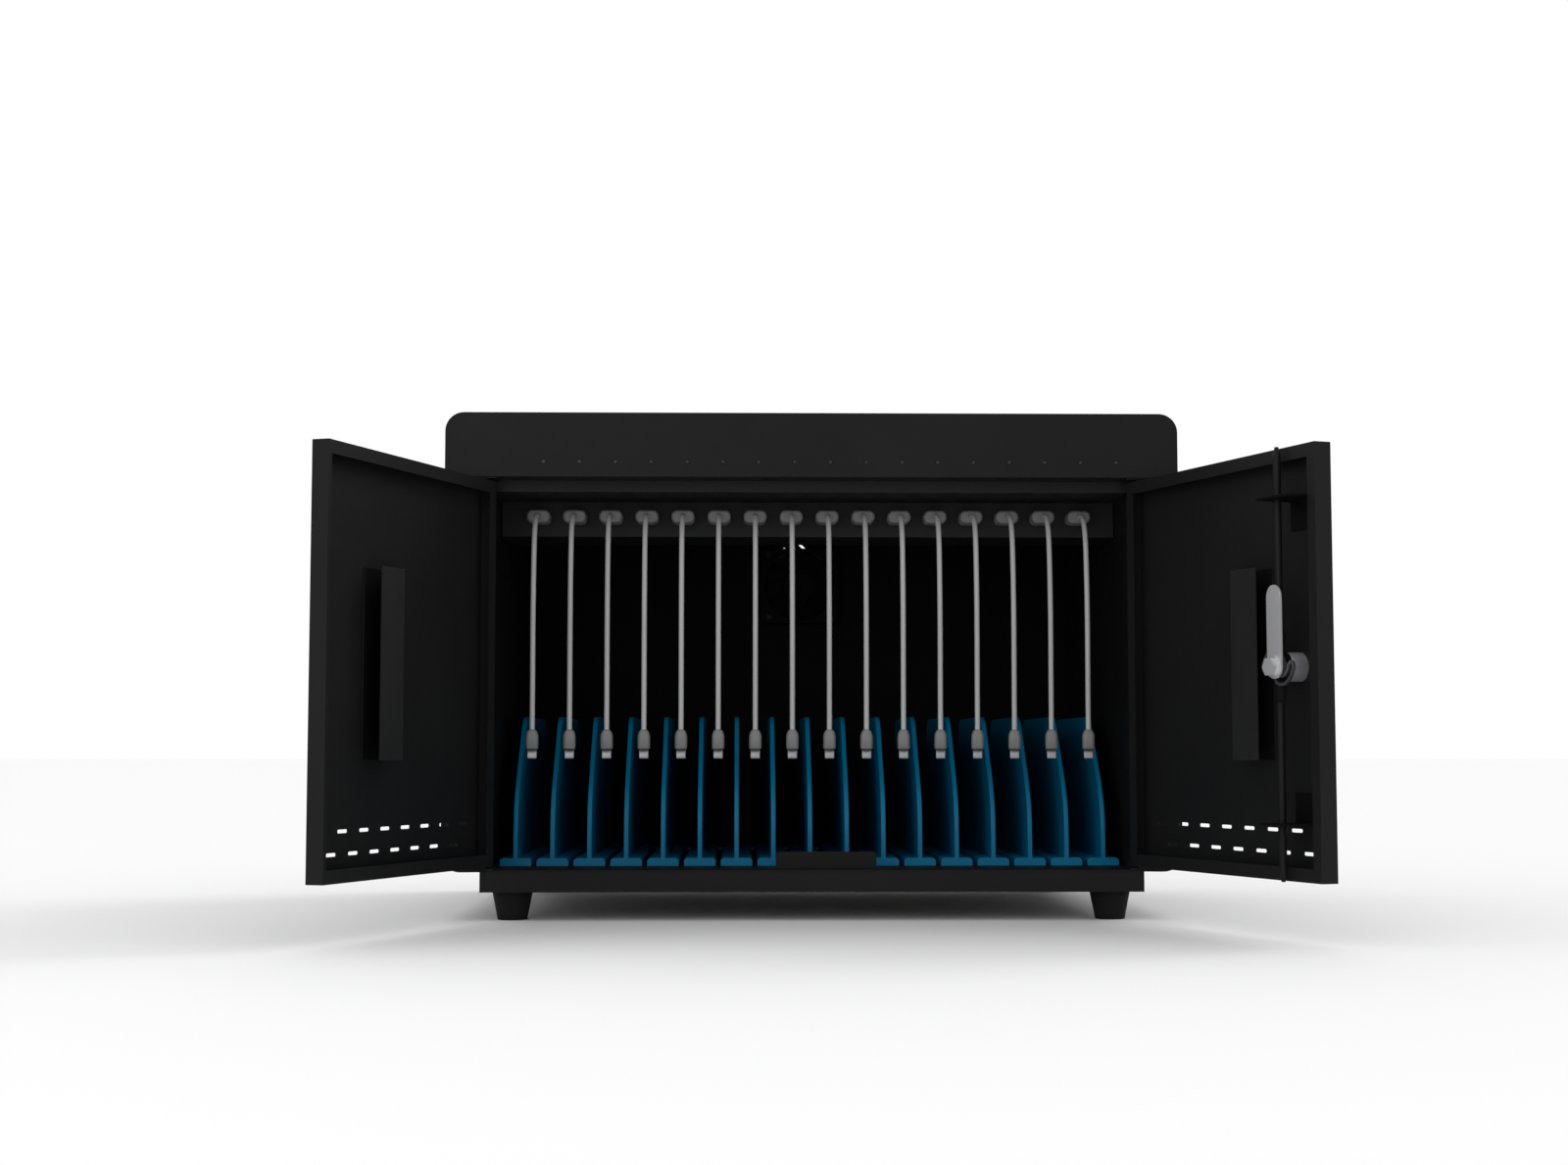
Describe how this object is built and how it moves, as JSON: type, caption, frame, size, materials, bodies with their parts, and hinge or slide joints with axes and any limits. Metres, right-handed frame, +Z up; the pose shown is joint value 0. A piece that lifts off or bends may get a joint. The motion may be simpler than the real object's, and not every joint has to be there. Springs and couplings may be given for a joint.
{
  "type": "charging cabinet",
  "caption": "Lockable desk-top charging cabinet: black steel body on a plinth with feet, two hinged doors with a rod lock, blue upright dividers and hanging charging cables.",
  "frame": {"origin": "on the floor plane under the middle of the whole part's bounding box, with the doors open as modelled", "axes": "+X to the right seen from the front and along the long side, +Y towards the rear panel, +Z up"},
  "size_m": [0.586, 0.5416, 0.335],
  "materials": {
    "black_coat": "satin black powder coat",
    "blue_plastic": "moulded blue plastic, low sheen",
    "foot_rubber": "matt black rubber",
    "plated_steel": "zinc-plated steel",
    "lock_chrome": "polished plating",
    "nylon": "dark nylon",
    "cable_jacket": "light grey flexible jacket",
    "plug_grip": "grey moulded grip",
    "circuit_board": "green circuit board",
    "lamp_lens": "dark tinted lens",
    "black_plastic": "matt black plastic",
    "supply_case": "bare folded case"
  },
  "bodies": {
    "cabinet": {"outer_wrapper": "black_coat", "front_fascia": "black_coat", "left_side_liner": "black_coat", "right_side_liner": "black_coat", "deck": "black_coat", "plinth_pan": "black_coat", "catch_plate": "black_coat", "hub_housing": "black_coat", "rear_panel": "black_coat", "hinge_brackets": "black_coat", "hinge_pins": "black_coat", "bay_dividers": "blue_plastic", "rubber_feet": "foot_rubber", "hinge_screws": "plated_steel", "fan_screws": "plated_steel", "usb_sockets": "plated_steel", "charge_cable_01": "cable_jacket", "charge_cable_02": "cable_jacket", "charge_cable_03": "cable_jacket", "charge_cable_04": "cable_jacket", "charge_cable_05": "cable_jacket", "charge_cable_06": "cable_jacket", "charge_cable_07": "cable_jacket", "charge_cable_08": "cable_jacket", "charge_cable_09": "cable_jacket", "charge_cable_10": "cable_jacket", "charge_cable_11": "cable_jacket", "charge_cable_12": "cable_jacket", "charge_cable_13": "cable_jacket", "charge_cable_14": "cable_jacket", "charge_cable_15": "cable_jacket", "charge_cable_16": "cable_jacket", "usb_plugs": "plug_grip", "device_connectors": "plug_grip", "hub_board": "circuit_board", "light_board": "circuit_board", "indicator_lights": "lamp_lens", "mains_inlet": "black_plastic", "switch_housing": "black_plastic", "fan_frame": "black_plastic", "power_supply": "supply_case"},
    "left_door": {"left_door_pan": "black_coat", "left_door_stiffener": "black_coat", "left_hinge_bushes": "nylon"},
    "right_door": {"right_door_pan": "black_coat", "right_door_stiffener": "black_coat", "right_hinge_bushes": "nylon", "lock_body": "lock_chrome", "lock_clip": "black_coat", "upper_rod_guide": "black_coat", "lower_rod_guide": "black_coat"},
    "lock_cam": {"lock_plug": "lock_chrome", "scroll_plate": "plated_steel", "lock_tongue": "plated_steel", "tongue_bolt": "plated_steel"},
    "upper_rod": {"upper_bolt_rod": "black_coat"},
    "lower_rod": {"lower_bolt_rod": "black_coat"},
    "rocker": {"power_rocker": "black_plastic"},
    "fan": {"fan_rotor": "black_plastic"}
  },
  "joints": [
    {"name": "left_door_swing", "type": "hinge", "parent": "cabinet", "child": "left_door", "pos_m": [-0.2176, -0.06516, 0.0354], "axis": [0, 0, -1], "range_deg": [-109.4, 5]},
    {"name": "right_door_swing", "type": "hinge", "parent": "cabinet", "child": "right_door", "pos_m": [0.2176, -0.06516, 0.0354], "axis": [0, 0, 1], "range_deg": [-109.4, 5]},
    {"name": "lock_turn", "type": "hinge", "parent": "right_door", "child": "lock_cam", "pos_m": [0.28203, -0.23606, 0.16], "axis": [0.9432, 0.3322, 0], "range_deg": [0, 90]},
    {"name": "upper_rod_slide", "type": "slide", "parent": "right_door", "child": "upper_rod", "axis": [0, 0, 1], "range_m": [0, 0.0065]},
    {"name": "lower_rod_slide", "type": "slide", "parent": "right_door", "child": "lower_rod", "axis": [0, 0, -1], "range_m": [0, 0.0065]},
    {"name": "power_rocker_tilt", "type": "hinge", "parent": "cabinet", "child": "rocker", "pos_m": [0.132, 0.26484, 0.3098], "axis": [1, 0, 0], "range_deg": [-20, 0]},
    {"name": "fan_spin", "type": "hinge", "parent": "cabinet", "child": "fan", "pos_m": [0, 0.25484, 0.2433], "axis": [0, 1, 0], "continuous": true}
  ],
  "couplings": [
    {"joint": "upper_rod_slide", "follows": "lock_turn", "m_per_rad": 0.004138},
    {"joint": "lower_rod_slide", "follows": "lock_turn", "m_per_rad": 0.004138}
  ]
}
